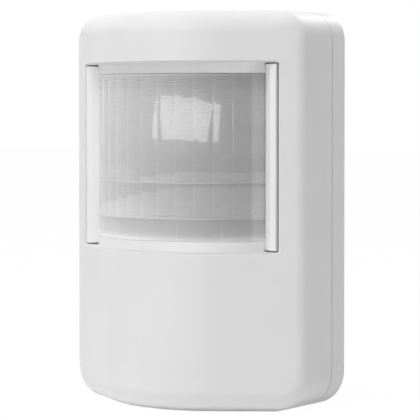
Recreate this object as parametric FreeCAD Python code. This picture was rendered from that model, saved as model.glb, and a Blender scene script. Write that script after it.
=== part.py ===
import FreeCAD, Part
import math
import os

V = FreeCAD.Vector

# A wall-mounted motion detector, in millimetres.
# The wall face is the plane y = 0, the front points to -Y, and z = 0 is mid height.

# Housing, shared by the cover and the base
height = 105.0
width = 74.0
depth = 39.2
base_depth = 6.8
parting_gap = 0.3
wall = 2.2
crown_radius = 32.5
flank_angle = 33.4
top_corner = 7.3
bottom_corner = 9.3
end_round = 5.4
side_round = 3.2
least_round = 1.0
rear_round = 0.4

# Window in the cover
window_half = 31.6
window_top = 39.15
window_bottom = -10.74
window_corner = 0.9
window_round = 0.3

# Lens: an upright cylinder segment with a thin rim behind the frame
lens_radius = 33.0
lens_setback = 0.85
lens_half = 27.2
lens_top = 36.1
lens_bottom = -7.8
lens_wall = 0.8
lens_rim = 1.2
lens_rim_wall = 0.7
seam_width = 0.4
seam_height = 0.12
upper_row_end = 7.45
middle_row_end = -1.95
segment_angle = 9.0
segment_count = 11
lower_angle = 21.0
lower_first_angle = -27.6
lower_seams = 4

# Lens frame and the two bars beside the lens
frame_gap = 0.25
frame_wall = 1.6
flange_reach = 1.6
flange_wall = 1.4
seat_gap = 0.05
band_rise = 0.3
post_wall = 5.3
bar_gap = 0.5
bar_end_gap = 0.6
bar_depth = 3.2
bar_front = 1.85
bar_inner = 27.25
bar_lip = 0.05
bar_round = 0.4

# Rear base
floor = 2.0
lip_gap = 0.2
lip_wall = 1.2
lip_height = 2.0
screw_hole_radius = 2.1
screw_spacing = 60.0
screw_top = 44.5
screw_boss_radius = 4.0
screw_boss_height = 0.8
catch_width = 12.0
catch_wall = 1.4
catch_gap = 0.3
catch_length = 4.2

# Tongues that hook the cover's top edge into the base
tongue_spacing = 36.0
tongue_width = 6.0
tongue_wall = 1.3
tongue_reach = 1.8
tongue_gap = 0.4
tongue_root = 5.0
pry_width = 8.0
pry_height = 1.2
pry_depth = 1.1

# Circuit board and its screws
board_half = 27.5
board_top = 38.0
board_bottom = -9.0
board_rear = 4.0
board_wall = 1.6
board_corner = 2.0
board_screw_inset = 4.0
board_boss_radius = 2.6
board_hole_radius = 1.3
pilot_radius = 0.9
pilot_end = 1.0
board_screw_head = 2.0
board_screw_head_height = 1.3
board_screw_slot = 0.45
board_screw_slot_depth = 0.85
board_screw_shank = 0.85
board_screw_length = 3.8

# Infrared sensor, on the lens's axis
sensor_z = 9.5
can_radius = 4.15
can_height = 4.5
can_flange_radius = 4.6
can_flange_wall = 0.5
collar_radius = 5.7
collar_height = 1.4
collar_gap = 0.1
optic_width = 4.4
optic_height = 3.2
optic_wall = 0.4

# Two cells lying side by side across the base
cell_radius = 5.25
cell_length = 44.5
cell_nub_radius = 1.9
cell_nub_length = 0.8
cell_gap = 0.15
cell_pitch = 12.0
cell_room = 15.5
contact_room = 2.35
contact_wall = 0.4
contact_gap = 0.1
contact_half = 4.0
leaf_half = 3.4
leaf_width = 4.0
cradle_wall = 1.4
cradle_height = 8.0
rib_wall = 0.8
rib_height = 3.6
rib_clear_half = 6.0
tail_overlap = 1.3
tail_proud = 2.4

# Switches and trimmers on the board
slide_x = -13.0
slide_z = -4.0
slide_length = 8.6
slide_width = 4.0
slide_height = 3.5
knob_length = 2.0
knob_width = 1.6
knob_travel = 2.0
knob_depth = 1.7
knob_proud = 1.8
fit_gap = 0.1
pair_x = 13.0
pair_z = -4.0
pair_width = 6.0
pair_height = 3.5
button_radius = 1.65
button_gap = 0.15
button_travel = 0.3
button_depth = 1.2
button_proud = 1.6
trimmer_x = 19.0
trimmer_z = 8.0
trimmer_width = 6.6
trimmer_height = 3.4
rotor_radius = 2.5
rotor_wall = 1.3
rotor_proud = 0.3
rotor_slot = 0.6
rotor_slot_half = 1.65
rotor_slot_depth = 0.7
hub_radius = 0.9
hub_length = 1.0

# Small parts on the board: place, then size
led_place = (13.0, 20.0)
led_radius = 1.5
led_height = 3.6
led_flange_radius = 1.9
led_flange_wall = 1.0
cell_eye_place = (-13.0, 20.0)
cell_eye_radius = 2.5
cell_eye_height = 2.0
cell_eye_flat = 2.15
controller_place = (-9.0, 30.5)
controller_size = (9.9, 3.9)
controller_pins = 8
amplifier_place = (3.0, 30.5)
amplifier_size = (4.9, 3.9)
amplifier_pins = 4
chip_height = 1.5
pin_pitch = 1.27
pin_width = 0.42
pin_reach = 1.0
pin_wall = 0.2
capacitor_places = [(-21.0, 20.0), (21.0, 20.0), (0.0, -3.6)]
capacitor_radius = 2.5
capacitor_height = 5.0
capacitor_edge = 0.5
radio_place = (14.5, 29.5)
radio_size = (10.0, 11.0)
radio_board = 0.8
radio_can = 1.7
radio_margin = 1.0
antenna_radius = 0.4
antenna_bend = 2.0
antenna_rise = 3.2
antenna_run = 24.0

# How far from a plane or surface an edge may be and still count as lying on it
near = 0.01

rear_y = -base_depth
board_front = board_rear + board_wall
lip_inset = wall + lip_gap
cavity_inset = lip_inset + lip_wall
lens_crown = depth - lens_setback
lens_axis_y = lens_radius - lens_crown
lower_cell_z = cell_room - height / 2
upper_cell_z = lower_cell_z + cell_pitch
cell_y = floor + cell_gap + cell_radius
plate_x = cell_length / 2 + contact_room - contact_gap - contact_wall
cradle_x = cell_length / 2 + contact_room


def box(x0, x1, y0, y1, z0, z1):
    """A block between two corners, given in any order."""
    low = V(min(x0, x1), min(y0, y1), min(z0, z1))
    return Part.makeBox(abs(x1 - x0), abs(y1 - y0), abs(z1 - z0), low)


def rod(radius, x, z, y0, y1):
    """A round bar along Y."""
    return Part.makeCylinder(radius, abs(y1 - y0), V(x, min(y0, y1), z), V(0, 1, 0))


def bevelled_rod(radius, x, z, rear, front, bevel):
    """A round bar along Y whose front rim is bevelled."""
    bar = rod(radius, x, z, rear, front)
    rim = [edge for edge in bar.Edges if edge.BoundBox.YMax < front + near]
    return bar.makeChamfer(bevel, rim)


def face_through(edges):
    """A flat face inside a closed run of edges."""
    return Part.Face(Part.Wire(edges))


def line(start, end):
    return Part.LineSegment(start, end).toShape()


def arc(start, middle, end):
    return Part.Arc(start, middle, end).toShape()


def rounded_face(half, top, bottom, top_radius, bottom_radius, y):
    """An upright rectangle in the plane y, with its top and bottom corners rounded."""

    def corner(side, level, radius, start):
        points = []
        for step in (0, 45, 90):
            angle = math.radians(start + step)
            x = side * (half - radius) + radius * math.cos(angle)
            z = level + radius * math.sin(angle)
            points.append(V(x, y, z))
        return points

    corners = [
        corner(1, top - top_radius, top_radius, 0),
        corner(-1, top - top_radius, top_radius, 90),
        corner(-1, bottom + bottom_radius, bottom_radius, 180),
        corner(1, bottom + bottom_radius, bottom_radius, 270),
    ]
    edges = []
    for index, points in enumerate(corners):
        edges.append(arc(*points))
        edges.append(line(points[2], corners[(index + 1) % 4][0]))
    return face_through(edges)


def outline_face(inset, y):
    """The housing's front view, moved inwards by inset."""
    return rounded_face(width / 2 - inset, height / 2 - inset, inset - height / 2,
                        top_corner - inset, bottom_corner - inset, y)


def outline_prism(inset, y0, y1):
    return outline_face(inset, y0).extrude(V(0, y1 - y0, 0))


def arc_end(inset):
    """Where the crown's arc meets the +X flank, on the surface moved inwards by inset."""
    radius = crown_radius - inset
    angle = math.radians(flank_angle)
    return radius * math.sin(angle), crown_radius - depth - radius * math.cos(angle)


def flank_y(x, inset=0.0):
    """The y of the cover's flank at x, on the surface moved inwards by inset."""
    arc_x, arc_y = arc_end(inset)
    return arc_y + (x - arc_x) * math.tan(math.radians(flank_angle))


def plan_edges(half, z, inset=0.0):
    """The front's plan at height z, from x = -half to x = half: flank, arc, flank."""
    arc_x, arc_y = arc_end(inset)
    crown_y = inset - depth
    end_y = flank_y(half, inset)
    return [
        line(V(-half, end_y, z), V(-arc_x, arc_y, z)),
        arc(V(-arc_x, arc_y, z), V(0, crown_y, z), V(arc_x, arc_y, z)),
        line(V(arc_x, arc_y, z), V(half, end_y, z)),
    ]


def close_plan(edges, half, rear, z):
    """Close a front curve with two sides and a straight rear."""
    start = edges[0].firstVertex(True).Point
    end = edges[-1].lastVertex(True).Point
    return edges + [
        line(end, V(half, rear, z)),
        line(V(half, rear, z), V(-half, rear, z)),
        line(V(-half, rear, z), start),
    ]


def front_rim_edges(solid):
    """Numbers and edges of the rim where the front meets the sides, top and bottom."""
    found = []
    for number, edge in enumerate(solid.Edges, 1):
        middle = edge.valueAt((edge.FirstParameter + edge.LastParameter) / 2)
        facing = []
        for side in solid.ancestorsOfType(edge, Part.Face):
            u, v = side.Surface.parameter(middle)
            facing.append(side.normalAt(u, v).y)
        if min(facing) < -0.1 and abs(max(facing)) < 1e-6:
            found.append((number, edge))
    return found


def round_front(solid, half, end_radius, side_radius):
    """Round the front rim: one radius on the top and bottom, another on the sides."""

    def radius_at(vertex):
        on_side = abs(abs(vertex.Point.x) - half) < 1e-4
        return side_radius if on_side else end_radius

    document = FreeCAD.newDocument("rim")
    base = document.addObject("Part::Feature", "base")
    base.Shape = solid
    fillet = document.addObject("Part::Fillet", "fillet")
    fillet.Base = base
    rim = []
    for number, edge in front_rim_edges(solid):
        rim.append((number, radius_at(edge.firstVertex()), radius_at(edge.lastVertex())))
    fillet.Edges = rim
    document.recompute()
    rounded = fillet.Shape.copy()
    FreeCAD.closeDocument(document.Name)
    return rounded.Solids[0]


def housing_volume(inset, rear):
    """The arched, rounded volume of the housing in front of the plane y = rear."""
    half = width / 2 - inset
    low = inset - height / 2
    plan = face_through(close_plan(plan_edges(half, low, inset), half, rear, low))
    block = plan.extrude(V(0, 0, height - 2 * inset))
    block = block.common(outline_prism(inset, rear, -depth)).removeSplitter()
    end_radius = max(end_round - inset, least_round)
    side_radius = max(side_round - inset, least_round)
    return round_front(block.Solids[0], half, end_radius, side_radius)


def lens_sector(outer, inner, first, last, z0, z1):
    """A piece of a ring about the lens's axis, between two angles from the front."""

    def at(radius, angle):
        turn = math.radians(angle)
        return V(radius * math.sin(turn), lens_axis_y - radius * math.cos(turn), z0)

    middle = (first + last) / 2
    edges = [
        arc(at(outer, first), at(outer, middle), at(outer, last)),
        line(at(outer, last), at(inner, last)),
        arc(at(inner, last), at(inner, middle), at(inner, first)),
        line(at(inner, first), at(outer, first)),
    ]
    return face_through(edges).extrude(V(0, 0, z1 - z0))


def lens_front_y(x):
    """The y of the lens's front surface at x."""
    return lens_axis_y - math.sqrt(lens_radius ** 2 - x ** 2)


def lens_cylinder(radius, z0, z1):
    return Part.makeCylinder(radius, z1 - z0, V(0, lens_axis_y, z0))


def window_prism(gap, y0, y1):
    """The window's opening made smaller by gap, between two depths."""
    corner = window_corner - gap
    face = rounded_face(window_half - gap, window_top - gap, window_bottom + gap,
                        corner, corner, y0)
    return face.extrude(V(0, y1 - y0, 0))


def window_rim_edges(solid):
    """Outer edges of the cover's window."""
    found = []
    for edge in solid.Edges:
        bounds = edge.BoundBox
        inside_x = bounds.XMin > -window_half - near and bounds.XMax < window_half + near
        inside_z = bounds.ZMin > window_bottom - near and bounds.ZMax < window_top + near
        if not (inside_x and inside_z):
            continue
        middle = edge.valueAt((edge.FirstParameter + edge.LastParameter) / 2)
        distance = front_surface.distToShape(Part.Vertex(middle))[0]
        through_wall = bounds.XLength < near and bounds.ZLength < near
        if distance < near and not through_wall:
            found.append(edge)
    return found


def front_cover():
    cover = housing_shape.cut(housing_volume(wall, rear_y + wall))
    cover = cover.cut(window_prism(0, -depth, post_rear_y()))
    cover = cover.makeFillet(window_round, window_rim_edges(cover))
    inner_top = height / 2 - wall
    for side in (-1, 1):
        x0 = side * tongue_spacing / 2 - tongue_width / 2
        x1 = x0 + tongue_width
        top = height / 2 - lip_inset - tongue_gap
        root = box(x0, x1, rear_y, rear_y - tongue_root, inner_top, top - tongue_wall)
        hook = box(x0, x1, rear_y + tongue_reach, rear_y, top, top - tongue_wall)
        cover = cover.fuse([root, hook])
    low = -height / 2
    pry = box(-pry_width / 2, pry_width / 2, rear_y, rear_y - pry_height, low, low + pry_depth)
    return cover.cut(pry).removeSplitter()


def front_surface_shell():
    """The cover's unrounded front surface, as faces."""
    edges = plan_edges(width / 2, -height / 2)
    return Part.makeShell([edge.extrude(V(0, 0, height)) for edge in edges])


def frame_band(z_out, z_in):
    """A band level with the lens at z_in, which stands a little proud of it at z_out."""
    half = bar_inner - seat_gap
    plans = []
    for z, radius in ((z_out, lens_radius + band_rise), (z_in, lens_radius)):
        side_y = lens_axis_y - math.sqrt(radius ** 2 - half ** 2)
        curve = arc(V(-half, side_y, z), V(0, lens_axis_y - radius, z), V(half, side_y, z))
        plans.append(Part.Wire(close_plan([curve], half, post_rear_y(), z)))
    return Part.makeLoft(plans, True, True)


def lens_frame():
    half = window_half - frame_gap
    top = window_top - frame_gap
    bottom = window_bottom + frame_gap
    bands = [frame_band(top, lens_top), frame_band(bottom, lens_bottom)]
    posts = []
    for side in (-1, 1):
        inner = side * (lens_half - frame_wall)
        posts.append(box(inner, side * half, post_front_y(), post_rear_y(), bottom, top))
    shell = housing_volume(wall + seat_gap, post_rear_y())
    shell = shell.cut(housing_volume(wall + seat_gap + flange_wall, rear_y))
    reach = window_half + flange_reach
    flange = shell.common(box(-reach, reach, rear_y, -depth, window_bottom - flange_reach,
                              window_top + flange_reach))
    flange = flange.cut(box(-half, half, rear_y, -depth, bottom, top))
    frame = bands[0].fuse([bands[1], posts[0], posts[1], flange])
    seat = lens_radius - lens_wall + seat_gap
    rim_low = lens_bottom - lens_rim - seat_gap
    rim_high = lens_top + lens_rim + seat_gap
    frame = frame.cut(lens_cylinder(seat, rim_low, rim_high))
    frame = frame.cut(lens_cylinder(seat - frame_wall, rim_low - height, rim_high + height))
    frame = frame.cut([bar_block(side, seat_gap) for side in (-1, 1)])
    return frame.removeSplitter()


def lens_seam_turns():
    """Angles of the upright seams in the upper rows and in the lower row."""
    first = -segment_angle * segment_count / 2
    upper = [first + segment_angle * index for index in range(segment_count + 1)]
    lower = [lower_first_angle + lower_angle * index for index in range(lower_seams)]
    return upper, lower


def fresnel_lens():
    edge_turn = math.degrees(math.asin(lens_half / lens_radius))
    top = lens_top - seat_gap
    bottom = lens_bottom + seat_gap
    body_inner = lens_radius - lens_wall
    lens = lens_sector(lens_radius, body_inner, -edge_turn, edge_turn, bottom, top)
    rim = lens_sector(body_inner, body_inner - lens_rim_wall, -edge_turn, edge_turn,
                      lens_bottom - lens_rim, lens_top + lens_rim)
    proud = lens_radius + seam_height
    half_turn = math.degrees(seam_width / 2 / lens_radius)
    upper, lower = lens_seam_turns()
    seams = []
    for turn in upper:
        seams.append(lens_sector(proud, body_inner, turn - half_turn, turn + half_turn,
                                 middle_row_end, top))
    for turn in lower:
        seams.append(lens_sector(proud, body_inner, turn - half_turn, turn + half_turn,
                                 bottom, middle_row_end))
    for level in (upper_row_end, middle_row_end):
        seams.append(lens_sector(proud, body_inner, -edge_turn, edge_turn,
                                 level - seam_width / 2, level + seam_width / 2))
    return lens.fuse([rim] + seams).removeSplitter()


def bar_outer():
    return window_half - bar_gap


def post_front_y():
    """The front of the frame's posts, which carry the bars."""
    return flank_y(bar_outer()) + bar_depth


def post_rear_y():
    return post_front_y() + post_wall


def bar_block(side, gap):
    """The upright bar's form with square edges, made larger by gap, on the side -1 or 1."""
    outer = bar_outer()
    front = flank_y(outer)
    ridge = outer - bar_front
    slope_end = lens_front_y(bar_inner) - bar_lip
    bottom = window_bottom + bar_end_gap - gap
    top = window_top - bar_end_gap + gap
    plan = [
        V(side * (outer + gap), post_front_y(), bottom),
        V(side * (outer + gap), front - gap, bottom),
        V(side * ridge, front - gap, bottom),
        V(side * (bar_inner - gap), slope_end - gap, bottom),
        V(side * (bar_inner - gap), post_front_y(), bottom),
    ]
    edges = [line(plan[index], plan[(index + 1) % 5]) for index in range(5)]
    return face_through(edges).extrude(V(0, 0, top - bottom))


def lens_bar(side):
    """An upright bar that covers the lens's edge, on the side -1 or 1."""
    bar = bar_block(side, 0)
    rear_limit = post_front_y() - near
    front_edges = []
    for edge in bar.Edges:
        bounds = edge.BoundBox
        at_lens = bounds.XLength < near and abs(abs(bounds.XMin) - bar_inner) < near
        if bounds.YMax < rear_limit and not at_lens:
            front_edges.append(edge)
    return bar.makeFillet(bar_round, front_edges)


def rear_base():
    rim_y = parting_gap - base_depth
    base = outline_prism(0, 0, rim_y)
    rear_edges = [edge for edge in base.Edges if edge.BoundBox.YMin > -near]
    base = base.makeFillet(rear_round, rear_edges)
    lip = outline_prism(lip_inset, -floor, rear_y - lip_height)
    base = base.fuse(lip)
    base = base.cut(outline_prism(cavity_inset, -floor, -depth))
    for side in (-1, 1):
        x = side * tongue_spacing / 2
        half = tongue_width / 2 + tongue_gap
        high = height / 2 - lip_inset
        notch_rear = rear_y + tongue_reach + tongue_gap
        base = base.cut(box(x - half, x + half, notch_rear, -depth, high, high - 2 * tongue_wall))
    low = -height / 2 + wall + catch_gap
    catch = box(-catch_width / 2, catch_width / 2, -floor, rear_y - catch_length,
                low, low + catch_wall)
    added = [catch]
    for x, z in board_screw_places():
        added.append(rod(board_boss_radius, x, z, -floor / 2, -board_rear))
    for z in wall_screw_levels():
        added.append(rod(screw_boss_radius, 0, z, -floor / 2, -floor - screw_boss_height))
    base = base.fuse(added + battery_cradle())
    for x, z in board_screw_places():
        base = base.cut(rod(pilot_radius, x, z, -pilot_end, -board_rear))
    for z in wall_screw_levels():
        base = base.cut(rod(screw_hole_radius, 0, z, 0, -board_rear))
    return base.removeSplitter()


def wall_screw_levels():
    return [screw_top, screw_top - screw_spacing]


def board_screw_places():
    high = board_top - board_screw_inset
    low = board_bottom + board_screw_inset
    side = board_half - board_screw_inset
    return [(-side, high), (side, high), (-side, low), (side, low)]


def battery_cradle():
    """End walls and low ribs that hold the two cells."""
    rib_end = cradle_x + cradle_wall / 2
    top = upper_cell_z + cell_radius + cell_gap
    bottom = lower_cell_z - cell_radius - cell_gap
    middle = (upper_cell_z + lower_cell_z) / 2
    pieces = []
    for side in (-1, 1):
        pieces.append(box(side * cradle_x, side * (cradle_x + cradle_wall),
                          -floor / 2, -floor - cradle_height, bottom - rib_wall, top + rib_wall))
        pieces.append(box(side * rib_clear_half, side * rib_end, -floor / 2, -floor - rib_height,
                          top, top + rib_wall))
    pieces.append(box(-rib_end, rib_end, -floor / 2, -floor - rib_height,
                      bottom - rib_wall, bottom))
    pieces.append(box(-cell_length / 2, cell_length / 2, -floor / 2, -floor - rib_height,
                      middle - rib_wall / 2, middle + rib_wall / 2))
    return pieces


def circuit_board():
    board = rounded_face(board_half, board_top, board_bottom, board_corner, board_corner,
                         -board_rear).extrude(V(0, -board_wall, 0))
    holes = [rod(board_hole_radius, x, z, -board_rear, -board_front)
             for x, z in board_screw_places()]
    return board.cut(holes)


def board_screws():
    """Four screws with chamfered, cross-slotted heads."""
    screws = []
    half = board_screw_slot / 2
    reach = board_screw_head - half
    head_y = -board_front - board_screw_head_height
    deep_y = head_y + board_screw_slot_depth
    for x, z in board_screw_places():
        head = bevelled_rod(board_screw_head, x, z, -board_front, head_y, board_screw_slot)
        shank = rod(board_screw_shank, x, z, -board_front, board_screw_length - board_front)
        screw = head.fuse(shank)
        screw = screw.cut(box(x - reach, x + reach, head_y, deep_y, z - half, z + half))
        screw = screw.cut(box(x - half, x + half, head_y, deep_y, z - reach, z + reach))
        screws.append(screw)
    return Part.makeCompound(screws)


def sensor_collar():
    ring = rod(collar_radius, 0, sensor_z, -board_front, -board_front - collar_height)
    bore = can_flange_radius + collar_gap
    return ring.cut(rod(bore, 0, sensor_z, -board_front, -board_front - collar_height))


def sensor_can():
    top_y = -board_front - can_height
    can = bevelled_rod(can_radius, 0, sensor_z, -board_front, top_y, optic_wall)
    can = can.fuse(rod(can_flange_radius, 0, sensor_z, -board_front,
                       -board_front - can_flange_wall))
    return can.cut(optic_block(seat_gap, optic_wall + seat_gap))


def optic_block(gap, deep):
    """The sensor's window, made larger by gap and deep into the can's front."""
    top_y = -board_front - can_height
    half_w = optic_width / 2 + gap
    half_h = optic_height / 2 + gap
    return box(-half_w, half_w, top_y, top_y + deep, sensor_z - half_h, sensor_z + half_h)


def sensor_window():
    return optic_block(0, optic_wall)


def status_led():
    x, z = led_place
    flange = rod(led_flange_radius, x, z, -board_front, -board_front - led_flange_wall)
    body = rod(led_radius, x, z, -board_front, -board_front - led_height)
    dome = Part.makeSphere(led_radius, V(x, -board_front - led_height, z))
    return flange.fuse([body, dome]).removeSplitter()


def photocell():
    x, z = cell_eye_place
    front = -board_front - cell_eye_height
    disc = rod(cell_eye_radius, x, z, -board_front, front)
    flats = box(x - cell_eye_radius, x + cell_eye_radius, -board_front, front,
                z - cell_eye_flat, z + cell_eye_flat)
    return disc.common(flats)


def chip(place, size, pins):
    """A moulded chip with a row of bent pins along its upper and lower side."""
    x, z = place
    half_w = size[0] / 2
    half_h = size[1] / 2
    body = box(x - half_w, x + half_w, -board_front - pin_wall, -board_front - chip_height,
               z - half_h, z + half_h)
    front = [edge for edge in body.Edges if edge.BoundBox.YMax < near - board_front - chip_height]
    body = body.makeChamfer(pin_wall, front)
    middle = -board_front - chip_height / 2
    legs = []
    for index in range(pins):
        leg_x = x + (index - (pins - 1) / 2) * pin_pitch
        x0 = leg_x - pin_width / 2
        x1 = leg_x + pin_width / 2
        for side in (-1, 1):
            root = z + side * half_h
            knee = root + side * pin_reach / 2
            toe = root + side * pin_reach
            legs.append(box(x0, x1, middle, middle - pin_wall, root, knee))
            legs.append(box(x0, x1, -board_front, middle - pin_wall,
                            knee - side * pin_wall, knee))
            legs.append(box(x0, x1, -board_front, -board_front - pin_wall, knee, toe))
    return body.fuse(legs).removeSplitter()


def capacitors():
    top_y = -board_front - capacitor_height
    cans = []
    for x, z in capacitor_places:
        cans.append(bevelled_rod(capacitor_radius, x, z, -board_front, top_y, capacitor_edge))
    return Part.makeCompound(cans)


def radio_module():
    x, z = radio_place
    half_w = radio_size[0] / 2
    half_h = radio_size[1] / 2
    top = -board_front - radio_board
    plate = box(x - half_w, x + half_w, -board_front, top, z - half_h, z + half_h)
    can = box(x - half_w + radio_margin, x + half_w - radio_margin, top, top - radio_can,
              z - half_h + radio_margin, z + half_h - 2 * radio_margin)
    upright = [edge for edge in can.Edges if edge.BoundBox.YLength > radio_can / 2]
    return plate.fuse(can.makeFillet(radio_margin / 2, upright))


def antenna_wire():
    """A stiff wire that rises from the radio module and runs along the board's top."""
    x = radio_place[0]
    z = radio_place[1] + radio_size[1] / 2 - radio_margin
    foot = -board_front - radio_board
    turn_y = foot - antenna_rise
    rise_end = V(x, turn_y + antenna_bend, z)
    lean = antenna_bend * (1 - math.sqrt(0.5))
    run_start = V(x - antenna_bend, turn_y, z)
    path = Part.Wire([
        line(V(x, foot, z), rise_end),
        arc(rise_end, V(x - lean, turn_y + lean, z), run_start),
        line(run_start, V(x - antenna_bend - antenna_run, turn_y, z)),
    ])
    start = Part.Wire(Part.makeCircle(antenna_radius, V(x, foot, z), V(0, -1, 0)))
    return path.makePipeShell([start], True, True)


def cell(z, plus_side):
    """A cell along X, with its plus end on the side -1 or 1."""
    half = cell_length / 2
    start = V(-plus_side * half, -cell_y, z)
    along = V(plus_side, 0, 0)
    can = Part.makeCylinder(cell_radius, cell_length - cell_nub_length, start, along)
    rims = [edge for edge in can.Edges if edge.BoundBox.XLength < near]
    can = can.makeChamfer(cell_nub_length / 2, rims)
    nub = Part.makeCylinder(cell_nub_radius, cell_length, start, along)
    return can.fuse(nub).removeSplitter()


def contact_leaf(side, z):
    """An arched spring leaf between a contact plate and the end of a cell."""
    root = plate_x
    tip = cell_length / 2 + seat_gap
    y0 = -cell_y + leaf_width / 2

    def at(x, level):
        return V(side * x, y0, z + level)

    inner = leaf_half - contact_wall
    edges = [
        arc(at(root, -leaf_half), at(tip, 0), at(root, leaf_half)),
        line(at(root, leaf_half), at(root, inner)),
        arc(at(root, inner), at(tip + contact_wall, 0), at(root, -inner)),
        line(at(root, -inner), at(root, -leaf_half)),
    ]
    return face_through(edges).extrude(V(0, -leaf_width, 0))


def contact_plate(side, z0, z1):
    back = -floor - contact_gap
    front = -floor - cradle_height
    return box(side * plate_x, side * (plate_x + contact_wall), back, front, z0, z1)


def link_contact():
    """One plate with two leaves, which joins the cells in series on the left."""
    plate = contact_plate(-1, lower_cell_z - contact_half, upper_cell_z + contact_half)
    leaves = [contact_leaf(-1, z) for z in (upper_cell_z, lower_cell_z)]
    return plate.fuse(leaves).removeSplitter()


def output_contacts():
    """Two plates on the right, each with a tail that is soldered to the board."""
    tail_end = board_bottom + tail_overlap
    tail_y0 = -board_front
    tail_y1 = -board_front - tail_proud
    inner = plate_x
    outer = cradle_x + cradle_wall + contact_gap
    front = -floor - cradle_height
    upper = contact_plate(1, upper_cell_z - contact_half, upper_cell_z + contact_half)
    upper_tail = box(inner, inner + contact_wall, tail_y0, tail_y1, upper_cell_z, tail_end)
    upper = upper.fuse([contact_leaf(1, upper_cell_z), upper_tail])
    lower = contact_plate(1, lower_cell_z - contact_half, lower_cell_z + contact_half)
    over_front = front - contact_gap - contact_wall
    over_half = leaf_width / 2
    lift = box(inner, inner + contact_wall, front, over_front,
               lower_cell_z - over_half, lower_cell_z + over_half)
    over = box(inner, outer + contact_wall, front - contact_gap, over_front,
               lower_cell_z - over_half, lower_cell_z + over_half)
    leg = box(outer, outer + contact_wall, over_front, tail_y0,
              lower_cell_z - over_half, lower_cell_z + over_half)
    lower_tail = box(outer, outer + contact_wall, tail_y0, tail_y1, lower_cell_z, tail_end)
    lower = lower.fuse([contact_leaf(1, lower_cell_z), lift, over, leg, lower_tail])
    return Part.makeCompound([upper.removeSplitter(), lower.removeSplitter()])


def slide_switch_body():
    front = -board_front - slide_height
    body = box(slide_x - slide_length / 2, slide_x + slide_length / 2, -board_front, front,
               slide_z - slide_width / 2, slide_z + slide_width / 2)
    half = (knob_length + knob_travel) / 2 + fit_gap
    tall = knob_width / 2 + fit_gap
    slot = box(slide_x - half, slide_x + half, front, front + knob_depth + fit_gap,
               slide_z - tall, slide_z + tall)
    return body.cut(slot)


def slide_switch_knob():
    """The knob at the left end of its slot."""
    front = -board_front - slide_height
    left = slide_x - (knob_length + knob_travel) / 2
    knob = box(left, left + knob_length, front + knob_depth, front - knob_proud,
               slide_z - knob_width / 2, slide_z + knob_width / 2)
    ends = [edge for edge in knob.Edges if edge.BoundBox.YMax < front - knob_proud + near]
    return knob.makeChamfer(2 * fit_gap, ends)


def pair_switch_body():
    front = -board_front - pair_height
    half = pair_width / 2
    body = box(pair_x - half, pair_x + half, -board_front, front, pair_z - half, pair_z + half)
    upright = [edge for edge in body.Edges if edge.BoundBox.YLength > pair_height / 2]
    body = body.makeChamfer(button_gap * 2, upright)
    deep = button_depth + button_travel + fit_gap
    return body.cut(rod(button_radius + button_gap, pair_x, pair_z, front, front + deep))


def pair_button():
    front = -board_front - pair_height
    return bevelled_rod(button_radius, pair_x, pair_z, front + button_depth,
                        front - button_proud, button_gap)


def trimmer_body(x):
    front = -board_front - trimmer_height
    half = trimmer_width / 2
    body = box(x - half, x + half, -board_front, front, trimmer_z - half, trimmer_z + half)
    upright = [edge for edge in body.Edges if edge.BoundBox.YLength > trimmer_height / 2]
    body = body.makeChamfer(button_gap * 2, upright)
    pocket = rotor_wall - rotor_proud + fit_gap
    body = body.cut(rod(rotor_radius + button_gap, x, trimmer_z, front, front + pocket))
    hub = pocket + hub_length
    return body.cut(rod(hub_radius + fit_gap, x, trimmer_z, front, front + hub))


def trimmer_rotor(x):
    """A round rotor with a cross slot and a short pointer notch at its top."""
    front = -board_front - trimmer_height
    tip = front - rotor_proud
    disc = rod(rotor_radius, x, trimmer_z, tip + rotor_wall, tip)
    hub = rod(hub_radius, x, trimmer_z, tip, tip + rotor_wall + hub_length)
    rotor = disc.fuse(hub)
    half = rotor_slot / 2
    reach = rotor_slot_half
    deep = tip + rotor_slot_depth
    rotor = rotor.cut(box(x - reach, x + reach, tip, deep, trimmer_z - half, trimmer_z + half))
    rotor = rotor.cut(box(x - half, x + half, tip, deep, trimmer_z - reach, trimmer_z + reach))
    notch = box(x - half, x + half, tip, tip + rotor_slot_depth / 2,
                trimmer_z + reach, trimmer_z + rotor_radius)
    return rotor.cut(notch).removeSplitter()


def write_part(name, shape):
    if not shape.isValid():
        print("not valid:", name)
    print(name, len(shape.Solids), round(shape.Volume, 2))
    shape.exportStep("parts/" + name + ".step")


os.makedirs("parts", exist_ok=True)
housing_shape = housing_volume(0, rear_y)
front_surface = front_surface_shell()

write_part("front_cover", front_cover())
write_part("lens_frame", lens_frame())
write_part("fresnel_lens", fresnel_lens())
write_part("left_lens_bar", lens_bar(-1))
write_part("right_lens_bar", lens_bar(1))
write_part("rear_base", rear_base())
write_part("circuit_board", circuit_board())
write_part("board_screws", board_screws())
write_part("sensor_collar", sensor_collar())
write_part("sensor_can", sensor_can())
write_part("sensor_window", sensor_window())
write_part("status_led", status_led())
write_part("photocell", photocell())
write_part("microcontroller", chip(controller_place, controller_size, controller_pins))
write_part("amplifier_chip", chip(amplifier_place, amplifier_size, amplifier_pins))
write_part("capacitors", capacitors())
write_part("radio_module", radio_module())
write_part("antenna_wire", antenna_wire())
write_part("battery_upper", cell(upper_cell_z, 1))
write_part("battery_lower", cell(lower_cell_z, -1))
write_part("link_contact", link_contact())
write_part("output_contacts", output_contacts())
write_part("slide_switch_body", slide_switch_body())
write_part("slide_switch_knob", slide_switch_knob())
write_part("pair_switch_body", pair_switch_body())
write_part("pair_button", pair_button())
write_part("time_trimmer_body", trimmer_body(-trimmer_x))
write_part("time_trimmer_rotor", trimmer_rotor(-trimmer_x))
write_part("lux_trimmer_body", trimmer_body(trimmer_x))
write_part("lux_trimmer_rotor", trimmer_rotor(trimmer_x))
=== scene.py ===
import math

import bmesh
import bpy
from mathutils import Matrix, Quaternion, Vector


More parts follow.
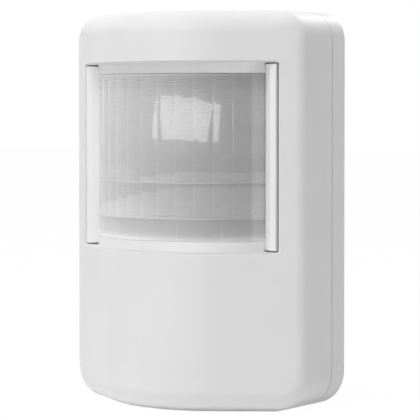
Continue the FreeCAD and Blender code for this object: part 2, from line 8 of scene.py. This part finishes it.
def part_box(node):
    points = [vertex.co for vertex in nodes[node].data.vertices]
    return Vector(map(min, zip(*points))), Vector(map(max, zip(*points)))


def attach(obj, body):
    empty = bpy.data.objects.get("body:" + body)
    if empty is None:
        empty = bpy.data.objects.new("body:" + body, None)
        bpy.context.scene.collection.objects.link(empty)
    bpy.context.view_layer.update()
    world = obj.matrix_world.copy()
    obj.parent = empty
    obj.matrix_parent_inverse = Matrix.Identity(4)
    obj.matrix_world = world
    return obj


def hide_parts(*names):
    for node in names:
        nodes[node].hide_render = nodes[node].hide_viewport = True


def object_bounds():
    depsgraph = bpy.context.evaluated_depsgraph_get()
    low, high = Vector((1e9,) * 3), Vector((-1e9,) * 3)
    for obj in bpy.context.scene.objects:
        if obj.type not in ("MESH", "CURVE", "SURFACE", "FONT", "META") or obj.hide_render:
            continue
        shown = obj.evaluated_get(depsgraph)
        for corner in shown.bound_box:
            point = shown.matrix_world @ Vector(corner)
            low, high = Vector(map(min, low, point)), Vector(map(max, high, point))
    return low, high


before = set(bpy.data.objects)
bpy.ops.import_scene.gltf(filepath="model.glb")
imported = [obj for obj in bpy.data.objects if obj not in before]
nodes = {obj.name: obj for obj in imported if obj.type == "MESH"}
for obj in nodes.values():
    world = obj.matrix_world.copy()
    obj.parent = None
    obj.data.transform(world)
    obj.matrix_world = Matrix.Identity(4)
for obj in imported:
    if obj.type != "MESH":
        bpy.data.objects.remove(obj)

cad_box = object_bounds()
MM = 0.001

# Camera: its turn and dip in degrees, where it stands, and its focal length in millimetres
VIEW_TURN = 34.559
VIEW_DISTANCE = 575.54 * MM
VIEW_SIDE = -5.632 * MM
VIEW_HEIGHT = 26.555 * MM
VIEW_DIP = 1.721
VIEW_LENS = 177.947
VIEW_SENSOR = 36.0
VIEW_SHIFT = -0.09
VIEW_NEAREST = 0.01
VIEW_FARTHEST = 20.0

# Lens array, seen in plan as a segment of a cylinder about an upright axis. Its two upper
# rows share their seams, and the lower row has wider segments
lens_low, lens_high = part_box("fresnel_lens")
LENS_RADIUS = 33.0 * MM
LENS_SEAM_RISE = 0.12 * MM
LENS_AXIS_Y = lens_low.y + LENS_RADIUS + LENS_SEAM_RISE
LENS_RIM = 1.2 * MM
LENS_GAP = 0.05 * MM
LENS_TOP = lens_high.z - LENS_RIM - LENS_GAP
LENS_BOTTOM = lens_low.z + LENS_RIM + LENS_GAP
LENS_EDGE = math.degrees(math.asin(lens_high.x / LENS_RADIUS))
LENS_WALL = 0.8 * MM
SKIN_WALL = 0.35 * MM
RIM_WALL = 0.7 * MM
UPPER_ROW_END = 7.45 * MM
MIDDLE_ROW_END = -1.95 * MM
SEGMENT_PITCH = 9.0
SEGMENT_COUNT = 11
LOWER_PITCH = 21.0
LOWER_FIRST = -27.6
LOWER_SEAMS = 4
SWEEP_STEPS = 72

# Relief of a lens segment: its bulge, the shares of its half width where it is sampled, and
# its grooves. A groove leans by GROOVE_TURN degrees for each millimetre from its row's centre,
# returns over the last part of its pitch, and sags in the middle of its segment
BULGE = 0.137 * MM
SEGMENT_SHARES = [-0.86, -0.7, -0.5, -0.25, 0.0, 0.25, 0.5, 0.7, 0.86]
SEAM_HALF = 0.13 * MM
SEAM_PROUD = 0.02 * MM
GROOVE_PITCH = 0.55 * MM
GROOVE_RETURN = 0.11
GROOVE_SAG = 0.3 * MM
GROOVE_FADE = 2 * GROOVE_PITCH
GROOVE_TURN = 1.74
UPPER_CENTRE = 18.9 * MM
MIDDLE_CENTRE = 9.5 * MM
LOWER_CENTRE = -2.5 * MM

# Places of the lens's second and third material; the milky one comes first
SEAM_SLOT = 1
STEP_SLOT = 2

# Grey of the milky plastic across the lens by angle in degrees, its change by height, and a
# pale veil at its foot. All of it is painted light and shade: the view through the lens, the
# grey falling from the lit left side to the shaded right, paler towards the white frame,
# paler down each row of segments and at the top against the band's shadow, and the veil is
# painted light at the foot
LENS_PAINTED_ACROSS = [(-56.0, 0.62), (-36.0, 0.51), (-22.0, 0.55), (0.0, 0.48), (25.0, 0.37),
               (42.0, 0.31), (48.5, 0.32), (50.5, 0.41), (56.0, 0.42)]
ROW_STEP = 0.1 * MM
LENS_PAINTED_UPRIGHT = [(LENS_BOTTOM, 1.4), (-5.6 * MM, 1.08), (MIDDLE_ROW_END - ROW_STEP, 0.84),
                (MIDDLE_ROW_END + ROW_STEP, 1.24), (UPPER_ROW_END - ROW_STEP, 0.88),
                (UPPER_ROW_END + ROW_STEP, 1.18), (13.0 * MM, 0.99), (20.0 * MM, 0.97),
                (31.0 * MM, 1.17), (35.5 * MM, 1.1), (LENS_TOP, 1.35)]
FOOT_PAINTED_LIGHT = [(LENS_BOTTOM, 0.24), (-6.2 * MM, 0.02), (-5.0 * MM, 0.0), (LENS_TOP, 0.0)]

# Painted light and shade of a ledge inside the frame, seen through the upper two rows: painted
# paler below it, painted darker just above it. It rises with the angle, in steps from segment
# to segment, up to a last angle
LEDGE_RISE = 0.1 * MM
LEDGE_LAST_TURN = 14.0
LEDGE_PAINTED_SHADES = [(-0.25 * MM, 1.1), (0.25 * MM, 0.94), (2.0 * MM, 0.97), (4.0 * MM, 1.0)]
LEDGE_ROWS = [(UPPER_ROW_END, LENS_TOP, 8.9 * MM), (MIDDLE_ROW_END, UPPER_ROW_END, 5.0 * MM)]

# The seams between the segments are painted this much paler, a painted highlight along them
SEAM_HIGHLIGHT_GAIN = 1.17
SEAM_PAINTED_ACROSS = [(turn, grey * SEAM_HIGHLIGHT_GAIN) for turn, grey in LENS_PAINTED_ACROSS]

# The cover's arch in plan, and the frame's steps in the gap above and below it
COVER_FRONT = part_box("front_cover")[0].y
CROWN_RADIUS = 32.5 * MM
FLANK_ANGLE = math.radians(33.4)
WINDOW_HALF = 31.6 * MM
WINDOW_TOP = 39.15 * MM
WINDOW_BOTTOM = -10.74 * MM
FRAME_GAP = 0.25 * MM
STEP_DEPTH = 0.3 * MM
STEP_REAR = 2.3 * MM
STEP_HOLD = 0.05 * MM
STEP_PARTS = 64

# Painted shade on the frame's upper band, for the shade under the window's top edge: how grey it
# is against the rest of it, by angle, a little paler near its right end, and where it starts
BAND_PAINTED_SHADE = [(-56.0, 0.8), (25.0, 0.85), (46.0, 1.05), (56.0, 0.88)]
BAND_SHADE_START = LENS_TOP - 0.6 * MM
BAND_SHADE_FULL = LENS_TOP - 0.1 * MM

# White plastic and the frame's gloss, and the angle above which an edge stays crisp
WHITE = (0.8, 0.8, 0.8)
# The bars' white is paler than the housing's: partly a paler plastic, partly painted light that
# brightens the bars
BAR_WHITE = (0.87, 0.87, 0.87)
FRAME_ROUGHNESS = 0.36
CRISP_ANGLE = math.radians(30.0)

# Range of the noise that shows: below and above it, it is flat
NOISE_LOW = 0.3
NOISE_HIGH = 0.7

# A cell's jacket from its minus end: where each colour starts, as a share of its length
CELL_BANDS = [(0.0, (0.6, 0.6, 0.6)), (0.03, (0.07, 0.085, 0.1)), (0.8, (0.42, 0.44, 0.46)),
              (0.955, (0.6, 0.6, 0.6))]

# Floor: the share of its look that is plain white, while the rest carries the part's shadow
FLOOR_GLOW = 0.985
FLOOR_HALF = 3.0
FLOOR_DROP = 0.05 * MM

# Light that comes from all round
FILL = 0.15

# Lamps stand this far from the part in metres. A softbox lights the part and isn't mirrored:
# its turn from the front and its rise in degrees, and its level
LAMP_DISTANCE = 1.3
SOFTBOX_SIDE = 0.6
SOFTBOXES = {
    "top_softbox": (0, 70, 10.3),
    "rear_softbox": (180, 60, 0.8),
    "side_softbox": (-50, 5, 2.2),
    "left_softbox": (-90, 70, 1.8),
    "front_softbox": (5, 5, 1.8),
    "rim_softbox": (110, 30, 1.45),
}

# A card is only mirrored: its turn, rise and level, its width and height in metres, its roll
CARDS = {
    "window_card": (2, 19, 1.9, 1.4, 0.9, -2.5),
    "corner_card": (180, 34, 4.6, 0.45, 0.35, 0.0),
}


def new_material(name):
    """A material with a principled shader, its node tree and that shader."""
    material = bpy.data.materials.new(name)
    material.use_nodes = True
    tree = material.node_tree
    return material, tree, tree.nodes["Principled BSDF"]


def add_node(tree, kind, **values):
    """A shader node with some of its settings."""
    node = tree.nodes.new(kind)
    for key, value in values.items():
        setattr(node, key, value)
    return node


def worked(tree, operation, *values):
    """A number worked out from sockets and plain numbers."""
    node = add_node(tree, "ShaderNodeMath", operation=operation)
    for socket, value in zip(node.inputs, values):
        if isinstance(value, float):
            socket.default_value = value
        else:
            tree.links.new(value, socket)
    return node.outputs[0]


def mixed(tree, blend, first, second):
    """Two colours multiplied or added."""
    mix = add_node(tree, "ShaderNodeMix", data_type="RGBA", blend_type=blend)
    mix.inputs["Factor"].default_value = 1.0
    tree.links.new(first, mix.inputs[6])
    tree.links.new(second, mix.inputs[7])
    return mix.outputs[2]


def only_where(tree, share, grey):
    """A grey where the share is 1, and white, which changes nothing, where it is 0."""
    mix = add_node(tree, "ShaderNodeMix", data_type="RGBA")
    mix.inputs[6].default_value = (1, 1, 1, 1)
    tree.links.new(share, mix.inputs["Factor"])
    tree.links.new(grey, mix.inputs[7])
    return mix.outputs[2]


def mapped(tree, source, start, end, low=0.0, high=1.0):
    """A number between start and end turned into one between low and high."""
    reach = add_node(tree, "ShaderNodeMapRange")
    reach.inputs["From Min"].default_value = start
    reach.inputs["From Max"].default_value = end
    reach.inputs["To Min"].default_value = low
    reach.inputs["To Max"].default_value = high
    tree.links.new(source, reach.inputs["Value"])
    return reach.outputs["Result"]


def coloured(tree, source, stops, interpolation="LINEAR"):
    """Colours that change with a share: pairs of that share and its colour."""
    ramp = add_node(tree, "ShaderNodeValToRGB")
    ramp.color_ramp.interpolation = interpolation
    shades = ramp.color_ramp.elements
    while len(shades) < len(stops):
        shades.new(0.5)
    for shade, (position, colour) in zip(shades, stops):
        shade.position = position
        shade.color = (*colour, 1)
    tree.links.new(source, ramp.inputs["Fac"])
    return ramp.outputs["Color"]


def graded(tree, source, stops):
    """Greys that change with a number: pairs of that number and its grey."""
    first, last = stops[0][0], stops[-1][0]
    greys = [((value - first) / (last - first), (grey, grey, grey)) for value, grey in stops]
    return coloured(tree, mapped(tree, source, first, last), greys)


def object_axes(tree):
    """The part's own coordinates, with an output for each axis."""
    place = add_node(tree, "ShaderNodeTexCoord")
    split = add_node(tree, "ShaderNodeSeparateXYZ")
    tree.links.new(place.outputs["Object"], split.inputs["Vector"])
    return split.outputs


def object_noise(tree, scale, detail=2.0, stretch=(1, 1, 1)):
    """Noise in the part's own coordinates, scale in turns per metre."""
    place = add_node(tree, "ShaderNodeTexCoord")
    mapping = add_node(tree, "ShaderNodeMapping")
    mapping.inputs["Scale"].default_value = stretch
    noise = add_node(tree, "ShaderNodeTexNoise")
    noise.inputs["Scale"].default_value = scale
    noise.inputs["Detail"].default_value = detail
    tree.links.new(place.outputs["Object"], mapping.inputs["Vector"])
    tree.links.new(mapping.outputs["Vector"], noise.inputs["Vector"])
    return noise.outputs[0]


def spread(tree, noise, low, high):
    """Map noise to values between low and high."""
    return mapped(tree, noise, NOISE_LOW, NOISE_HIGH, low, high)


def tint(tree, noise, dark, light):
    """Blend two colours by noise."""
    return coloured(tree, noise, [(0.35, dark), (0.65, light)])


def bump(tree, shader, height, depth):
    """Raise a shader's surface by up to a depth, where the height is 1."""
    node = add_node(tree, "ShaderNodeBump")
    node.inputs["Strength"].default_value = 1.0
    node.inputs["Distance"].default_value = depth
    tree.links.new(height, node.inputs["Height"])
    tree.links.new(node.outputs["Normal"], shader.inputs["Normal"])


def moulded(name, colour, roughness, shade=0.02):
    """Moulded plastic: slight cloudiness, uneven gloss and a fine eroded grain."""
    material, tree, shader = new_material(name)
    cloud = object_noise(tree, 60.0, 3.0)
    dark = [c * (1 - shade) for c in colour]
    tree.links.new(tint(tree, cloud, dark, colour), shader.inputs["Base Color"])
    gloss = object_noise(tree, 900.0)
    tree.links.new(spread(tree, gloss, roughness - 0.03, roughness + 0.03),
                   shader.inputs["Roughness"])
    bump(tree, shader, object_noise(tree, 6000.0, 1.0), 0.004 * MM)
    return material


def metal(name, colour, roughness, stretch=(1, 1, 1)):
    """Metal with fine drawn lines along the squeezed direction."""
    material, tree, shader = new_material(name)
    shader.inputs["Metallic"].default_value = 1.0
    lines = object_noise(tree, 2500.0, stretch=stretch)
    dark = [c * 0.85 for c in colour]
    tree.links.new(tint(tree, lines, dark, colour), shader.inputs["Base Color"])
    tree.links.new(spread(tree, lines, roughness - 0.05, roughness + 0.08),
                   shader.inputs["Roughness"])
    bump(tree, shader, lines, 0.003 * MM)
    return material


def lens_turn(tree, axes):
    """The angle about the lens's axis, in degrees."""
    ahead = worked(tree, "SUBTRACT", LENS_AXIS_Y, axes["Y"])
    return worked(tree, "DEGREES", worked(tree, "ARCTAN2", axes["X"], ahead))


def painted_ledge_shade(tree, turn, height, shade):
    """Add the ledge's painted light and shade, in steps from segment to segment, to the lens's
    painted grey.
    """
    stepped = worked(tree, "SNAP", worked(tree, "ADD", turn, SEGMENT_PITCH / 2), SEGMENT_PITCH)
    risen = worked(tree, "MINIMUM", stepped, LEDGE_LAST_TURN)
    slant = worked(tree, "MULTIPLY_ADD", risen, -LEDGE_RISE, height)
    for low, high, level in LEDGE_ROWS:
        row = [(low - ROW_STEP, 0.0), (low + ROW_STEP, 1.0), (high - ROW_STEP, 1.0),
               (high + ROW_STEP, 0.0)]
        painted_ledge = [(level + rise, grey) for rise, grey in LEDGE_PAINTED_SHADES]
        painted_ledge = only_where(tree, graded(tree, height, row), graded(tree, slant, painted_ledge))
        shade = mixed(tree, "MULTIPLY", shade, painted_ledge)
    return shade


def lens_plastic(name, across, skin=1.0):
    """Milky lens plastic under a clear glossy skin; its grey is painted light and shade: what
    lies behind it and the light across it.
    """
    material, tree, shader = new_material(name)
    axes = object_axes(tree)
    turn = lens_turn(tree, axes)
    # Painted light and shade: the grey across and up the lens, the ledge, and the painted light
    # at its foot
    painted_grey = mixed(tree, "MULTIPLY", graded(tree, turn, across),
                 graded(tree, axes["Z"], LENS_PAINTED_UPRIGHT))
    painted_grey = painted_ledge_shade(tree, turn, axes["Z"], painted_grey)
    painted_grey = mixed(tree, "ADD", painted_grey, graded(tree, axes["Z"], FOOT_PAINTED_LIGHT))
    cloud = tint(tree, object_noise(tree, 140.0, 3.0), (0.95, 0.95, 0.95), (1, 1, 1))
    tree.links.new(mixed(tree, "MULTIPLY", painted_grey, cloud), shader.inputs["Base Color"])
    shader.inputs["Roughness"].default_value = 0.3
    shader.inputs["Specular IOR Level"].default_value = 0.5
    shader.inputs["Coat Weight"].default_value = skin
    shader.inputs["Coat Roughness"].default_value = 0.03
    shader.inputs["Coat IOR"].default_value = 1.9
    bump(tree, shader, object_noise(tree, 4000.0, 1.0), 0.001 * MM)
    return material


def frame_plastic(name):
    """The frame's plastic, with painted shade on its upper band."""
    material = moulded(name, WHITE, FRAME_ROUGHNESS)
    tree = material.node_tree
    base = tree.nodes["Principled BSDF"].inputs["Base Color"]
    plain = base.links[0].from_socket
    axes = object_axes(tree)
    # Painted shade: the upper band is darkened by angle, where light from above doesn't reach it
    band_shade = only_where(tree, mapped(tree, axes["Z"], BAND_SHADE_START, BAND_SHADE_FULL),
                      graded(tree, lens_turn(tree, axes), BAND_PAINTED_SHADE))
    tree.links.new(mixed(tree, "MULTIPLY", plain, band_shade), base)
    return material


def board_plastic():
    """Circuit board: a green mask with paler copper lines under it."""
    material, tree, shader = new_material("board_mask")
    place = add_node(tree, "ShaderNodeTexCoord")
    mapping = add_node(tree, "ShaderNodeMapping")
    mapping.inputs["Rotation"].default_value = (math.radians(90), 0, 0)
    brick = add_node(tree, "ShaderNodeTexBrick")
    brick.inputs["Scale"].default_value = 260.0
    brick.inputs["Mortar Size"].default_value = 0.06
    brick.inputs["Color1"].default_value = (0.012, 0.09, 0.035, 1)
    brick.inputs["Color2"].default_value = (0.015, 0.105, 0.04, 1)
    brick.inputs["Mortar"].default_value = (0.03, 0.2, 0.08, 1)
    tree.links.new(place.outputs["Object"], mapping.inputs["Vector"])
    tree.links.new(mapping.outputs["Vector"], brick.inputs["Vector"])
    tree.links.new(brick.outputs["Color"], shader.inputs["Base Color"])
    bump(tree, shader, brick.outputs["Fac"], 0.02 * MM)
    shader.inputs["Roughness"].default_value = 0.3
    return material


def cell_jacket(name, plus_side):
    """A cell's plain jacket: slate grey, with a pale band at its plus end and bare ends."""
    low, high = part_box(name)
    middle = (low.x + high.x) / 2
    half = plus_side * (high.x - low.x) / 2
    material, tree, shader = new_material(name + "_jacket")
    along = mapped(tree, object_axes(tree)["X"], middle - half, middle + half)
    tree.links.new(coloured(tree, along, CELL_BANDS, "CONSTANT"), shader.inputs["Base Color"])
    shader.inputs["Metallic"].default_value = 0.45
    tree.links.new(spread(tree, object_noise(tree, 300.0), 0.26, 0.32),
                   shader.inputs["Roughness"])
    return material


def soften(mesh):
    """Smooth shading, kept crisp at sharp edges."""
    for face in mesh.polygons:
        face.use_smooth = True
    mesh.set_sharp_from_angle(angle=CRISP_ANGLE)


def dress(material, *names):
    """Give CAD nodes a material."""
    for name in names:
        mesh = nodes[name].data
        mesh.materials.clear()
        mesh.materials.append(material)


def dress_nodes():
    """Materials and smooth shading for every CAD node but the lens, which the scene makes."""
    dress(moulded("housing_white", WHITE, 0.42), "front_cover", "rear_base")
    dress(frame_plastic("frame_white"), "lens_frame")
    dress(moulded("bar_white", BAR_WHITE, FRAME_ROUGHNESS), "left_lens_bar", "right_lens_bar")
    dress(board_plastic(), "circuit_board")
    dress(metal("steel_plated", (0.62, 0.62, 0.63), 0.3), "board_screws", "sensor_can",
          "link_contact", "output_contacts", "slide_switch_body", "radio_module")
    dress(metal("can_aluminium", (0.78, 0.78, 0.8), 0.32, (1, 0.1, 1)), "capacitors")
    dress(metal("wire_copper", (0.75, 0.4, 0.2), 0.3), "antenna_wire")
    dress(moulded("plastic_black", (0.02, 0.02, 0.022), 0.5, 0.2), "sensor_collar",
          "microcontroller", "amplifier_chip", "slide_switch_knob", "pair_switch_body",
          "pair_button")
    dress(moulded("filter_dark", (0.02, 0.015, 0.02), 0.12, 0.3), "sensor_window")
    dress(moulded("led_red", (0.45, 0.02, 0.015), 0.15, 0.1), "status_led")
    dress(moulded("ceramic_cream", (0.6, 0.5, 0.32), 0.55, 0.1), "photocell",
          "time_trimmer_rotor", "lux_trimmer_rotor")
    dress(moulded("trimmer_blue", (0.03, 0.1, 0.4), 0.4, 0.1), "time_trimmer_body",
          "lux_trimmer_body")
    dress(cell_jacket("battery_upper", 1), "battery_upper")
    dress(cell_jacket("battery_lower", -1), "battery_lower")
    for piece in nodes.values():
        soften(piece.data)


def lens_point(radius, turn, z):
    """A point at a radius and an angle from the front, about the lens's axis."""
    angle = math.radians(turn)
    return Vector((radius * math.sin(angle), LENS_AXIS_Y - radius * math.cos(angle), z))


def join_rings(work, rings, slot=0):
    """Join rings of vertices with faces, and close both ends."""
    for ring, after in zip(rings, rings[1:]):
        for index in range(len(ring)):
            following = (index + 1) % len(ring)
            face = work.faces.new((ring[index], ring[following], after[following], after[index]))
            face.material_index = slot
    work.faces.new(rings[0])
    work.faces.new(list(reversed(rings[-1])))


def sweep_ring(work, profile, slot=0):
    """Sweep a closed profile of (radius, z) points round the lens's axis."""
    rings = []
    for step in range(SWEEP_STEPS + 1):
        turn = -LENS_EDGE + 2 * LENS_EDGE * step / SWEEP_STEPS
        rings.append([work.verts.new(lens_point(radius, turn, z)) for radius, z in profile])
    join_rings(work, rings, slot)


def segment_columns(seams):
    """Angles across the lens, each with its share across its own segment and its bulge."""
    seam_turn = math.degrees(SEAM_HALF / LENS_RADIUS)
    edges = [-LENS_EDGE] + seams + [LENS_EDGE]
    columns = []
    for left, right in zip(edges, edges[1:]):
        middle = (left + right) / 2
        half = (right - left) / 2
        if left in seams:
            columns.append((left, 1.0, SEAM_PROUD))
        columns.append((left + seam_turn, 1.0, 0.0))
        for share in SEGMENT_SHARES:
            columns.append((middle + share * half, share, BULGE * (1 - share ** 2)))
        columns.append((right - seam_turn, 1.0, 0.0))
    return columns


def groove_rows(low, high, centre):
    """Heights of the groove edges, each with how far it stands out."""
    count = max(1, round((high - low) / GROOVE_PITCH))
    pitch = (high - low) / count
    rows = []
    for index in range(count):
        start = low + index * pitch
        lean = math.tan(math.radians(GROOVE_TURN * (start + pitch / 2 - centre) / MM))
        half = lean * pitch * (1 - GROOVE_RETURN) / 2
        rows.append((start, half))
        rows.append((start + pitch * (1 - GROOVE_RETURN), -half))
    rows.append((high, rows[-2][1]))
    return rows


def lens_block(work, low, high, centre, seams):
    """One row of lens segments: bulged across, grooved along, with walls down to the body."""
    columns = segment_columns(seams)
    base = LENS_RADIUS - BULGE
    grid = []
    for z, offset in groove_rows(low, high, centre):
        fade = min(1.0, (z - low) / GROOVE_FADE, (high - z) / GROOVE_FADE)
        line = []
        for turn, share, rise in columns:
            sag = GROOVE_SAG * fade * (1 - share ** 2)
            line.append(work.verts.new(lens_point(base + rise + offset, turn, z - sag)))
        grid.append(line)
    for row, (line, above) in enumerate(zip(grid, grid[1:])):
        for index in range(len(line) - 1):
            face = work.faces.new((line[index], line[index + 1], above[index + 1], above[index]))
            if columns[index][1] == 1.0 and columns[index + 1][1] == 1.0:
                face.material_index = SEAM_SLOT
            elif row % 2 == 1:
                face.material_index = STEP_SLOT
        for index in range(len(line) - 1):
            work.edges.get((line[index], line[index + 1])).smooth = False
    for index, (_, share, _) in enumerate(columns):
        if share == 1.0:
            for line, above in zip(grid, grid[1:]):
                work.edges.get((line[index], above[index])).smooth = False
    border = grid[0] + [line[-1] for line in grid[1:]] + grid[-1][-2::-1]
    border += [line[0] for line in grid[-2:0:-1]]
    feet = []
    for vertex in border:
        turn = math.degrees(math.atan2(vertex.co.x, LENS_AXIS_Y - vertex.co.y))
        feet.append(work.verts.new(lens_point(LENS_RADIUS - SKIN_WALL, turn, vertex.co.z)))
    for index in range(len(border)):
        following = (index + 1) % len(border)
        work.faces.new((border[following], border[index], feet[index], feet[following]))


def finish_mesh(work, name, *materials):
    """Turn worked geometry into an object with smooth faces."""
    mesh = bpy.data.meshes.new(name)
    for face in work.faces:
        face.smooth = True
    work.to_mesh(mesh)
    work.free()
    piece = bpy.data.objects.new(name, mesh)
    bpy.context.scene.collection.objects.link(piece)
    for material in materials:
        mesh.materials.append(material)
    return piece


def lens_array():
    """The lens: a plain curved body and rim, three rows of segments and raised row lines."""
    first = -SEGMENT_PITCH * SEGMENT_COUNT / 2
    upper = [first + SEGMENT_PITCH * index for index in range(SEGMENT_COUNT + 1)]
    lower = [LOWER_FIRST + LOWER_PITCH * index for index in range(LOWER_SEAMS)]
    work = bmesh.new()
    lens_block(work, UPPER_ROW_END + SEAM_HALF, LENS_TOP, UPPER_CENTRE, upper)
    lens_block(work, MIDDLE_ROW_END + SEAM_HALF, UPPER_ROW_END - SEAM_HALF, MIDDLE_CENTRE, upper)
    lens_block(work, LENS_BOTTOM, MIDDLE_ROW_END - SEAM_HALF, LOWER_CENTRE, lower)
    skin = LENS_RADIUS - SKIN_WALL + LENS_GAP
    inner = LENS_RADIUS - LENS_WALL
    deep = inner - RIM_WALL
    sweep_ring(work, [(skin, LENS_BOTTOM), (skin, LENS_TOP), (inner, LENS_TOP),
                      (inner, LENS_BOTTOM)])
    sweep_ring(work, [(inner, lens_low.z), (inner, lens_high.z), (deep, lens_high.z),
                      (deep, lens_low.z)])
    for level in (UPPER_ROW_END, MIDDLE_ROW_END):
        ridge = [(skin, level - SEAM_HALF), (LENS_RADIUS - LENS_GAP, level - SEAM_HALF),
                 (LENS_RADIUS, level), (LENS_RADIUS - LENS_GAP, level + SEAM_HALF),
                 (skin, level + SEAM_HALF)]
        sweep_ring(work, ridge, SEAM_SLOT)
    bmesh.ops.recalc_face_normals(work, faces=work.faces)
    # The seam material carries a painted highlight; all three carry the lens's painted light and
    # shade
    piece = finish_mesh(work, "lens_array", lens_plastic("lens_milky", LENS_PAINTED_ACROSS),
                        lens_plastic("lens_seam", SEAM_PAINTED_ACROSS),
                        lens_plastic("lens_step", LENS_PAINTED_ACROSS, 0.0))
    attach(piece, "cover")
    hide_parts("fresnel_lens")


def cover_y(x):
    """Where the cover's front surface stands at a distance x from the middle."""
    crown_half = CROWN_RADIUS * math.sin(FLANK_ANGLE)
    if abs(x) < crown_half:
        return COVER_FRONT + CROWN_RADIUS - math.sqrt(CROWN_RADIUS ** 2 - x ** 2)
    crown_end = COVER_FRONT + CROWN_RADIUS * (1 - math.cos(FLANK_ANGLE))
    return crown_end + (abs(x) - crown_half) * math.tan(FLANK_ANGLE)


def frame_step(name, z_low, material):
    """The frame's edge inside the gap: a strip a little below the cover's surface."""
    half = WINDOW_HALF - FRAME_GAP
    z_high = z_low + FRAME_GAP
    work = bmesh.new()
    rings = []
    for index in range(STEP_PARTS + 1):
        x = half * (2 * index / STEP_PARTS - 1)
        front = cover_y(x) + STEP_DEPTH
        rear = cover_y(x) + STEP_REAR
        corners = [(front, z_low), (front, z_high), (rear, z_high), (rear, z_low)]
        rings.append([work.verts.new((x, y, z)) for y, z in corners])
    join_rings(work, rings)
    bmesh.ops.recalc_face_normals(work, faces=work.faces)
    piece = finish_mesh(work, name, material)
    soften(piece.data)
    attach(piece, "cover")


def frame_steps():
    """The steps above and below the lens frame, each held by the frame's edge."""
    material = moulded("step_white", WHITE, FRAME_ROUGHNESS)
    frame_step("frame_upper_step", WINDOW_TOP - FRAME_GAP - STEP_HOLD, material)
    frame_step("frame_lower_step", WINDOW_BOTTOM + STEP_HOLD, material)


def seen_directly(tree):
    """1 for camera, glossy and transmission rays."""
    light = add_node(tree, "ShaderNodeLightPath").outputs
    seen = worked(tree, "MAXIMUM", light["Is Camera Ray"], light["Is Glossy Ray"])
    return worked(tree, "MAXIMUM", seen, light["Is Transmission Ray"])


def backdrop():
    """A wide pale floor that shows white and keeps a soft shadow."""
    work = bmesh.new()
    bmesh.ops.create_grid(work, x_segments=2, y_segments=2, size=FLOOR_HALF)
    material, tree, shader = new_material("floor_pale")
    shader.inputs["Base Color"].default_value = (0.95, 0.95, 0.95, 1)
    shader.inputs["Roughness"].default_value = 0.9
    glow = add_node(tree, "ShaderNodeEmission")
    mix = add_node(tree, "ShaderNodeMixShader")
    tree.links.new(worked(tree, "MULTIPLY", seen_directly(tree), FLOOR_GLOW), mix.inputs["Fac"])
    tree.links.new(shader.outputs["BSDF"], mix.inputs[1])
    tree.links.new(glow.outputs["Emission"], mix.inputs[2])
    tree.links.new(mix.outputs["Shader"], tree.nodes["Material Output"].inputs["Surface"])
    floor = finish_mesh(work, "studio_floor", material)
    floor.location = (0, 0, cad_box[0].z - FLOOR_DROP)


def studio_world():
    """White where it is seen or mirrored, and a soft fill elsewhere."""
    world = bpy.data.worlds.new("studio")
    bpy.context.scene.world = world
    world.use_nodes = True
    tree = world.node_tree
    background = tree.nodes["Background"]
    background.inputs["Color"].default_value = (1, 1, 1, 1)
    tree.links.new(mapped(tree, seen_directly(tree), 0.0, 1.0, FILL, 1.0),
                   background.inputs["Strength"])


def lamp(name, turn, rise, level, width, height, roll=0.0, card=False):
    """A rectangular lamp aimed at the part. A card is only mirrored, others only light."""
    light = bpy.data.lights.new(name, "AREA")
    light.shape = "RECTANGLE"
    light.size = width
    light.size_y = height
    light.energy = level * math.pi * width * height
    source = bpy.data.objects.new(name, light)
    bpy.context.scene.collection.objects.link(source)
    turn = math.radians(turn)
    rise = math.radians(rise)
    back = Vector((math.sin(turn) * math.cos(rise), -math.cos(turn) * math.cos(rise),
                   math.sin(rise)))
    source.location = (cad_box[0] + cad_box[1]) / 2 + back * LAMP_DISTANCE
    source.rotation_mode = "QUATERNION"
    facing = (-back).to_track_quat("-Z", "Y")
    source.rotation_quaternion = facing @ Quaternion((0, 0, 1), math.radians(roll))
    source.visible_camera = False
    source.visible_glossy = card
    source.visible_diffuse = not card


def studio_lamps():
    """All softboxes and cards."""
    for name, (turn, rise, level) in SOFTBOXES.items():
        lamp(name, turn, rise, level, SOFTBOX_SIDE, SOFTBOX_SIDE)
    for name, values in CARDS.items():
        lamp(name, *values, card=True)


def photo_camera():
    """The camera at the photo's viewing angle."""
    camera = bpy.data.objects.new("camera", bpy.data.cameras.new("camera"))
    bpy.context.scene.collection.objects.link(camera)
    turn = math.radians(VIEW_TURN)
    dip = math.radians(VIEW_DIP)
    right = Vector((math.cos(turn), math.sin(turn), 0))
    ahead = Vector((-math.sin(turn), math.cos(turn), 0))
    camera.location = right * VIEW_SIDE - ahead * VIEW_DISTANCE + Vector((0, 0, VIEW_HEIGHT))
    aim = ahead * math.cos(dip) - Vector((0, 0, math.sin(dip)))
    camera.rotation_mode = "QUATERNION"
    camera.rotation_quaternion = aim.to_track_quat("-Z", "Y")
    camera.data.lens = VIEW_LENS
    camera.data.sensor_width = VIEW_SENSOR
    camera.data.shift_y = VIEW_SHIFT
    camera.data.clip_start = VIEW_NEAREST
    camera.data.clip_end = VIEW_FARTHEST
    bpy.context.scene.camera = camera


bpy.context.scene.view_settings.view_transform = "Standard"
dress_nodes()
lens_array()
frame_steps()
backdrop()
studio_world()
studio_lamps()
photo_camera()
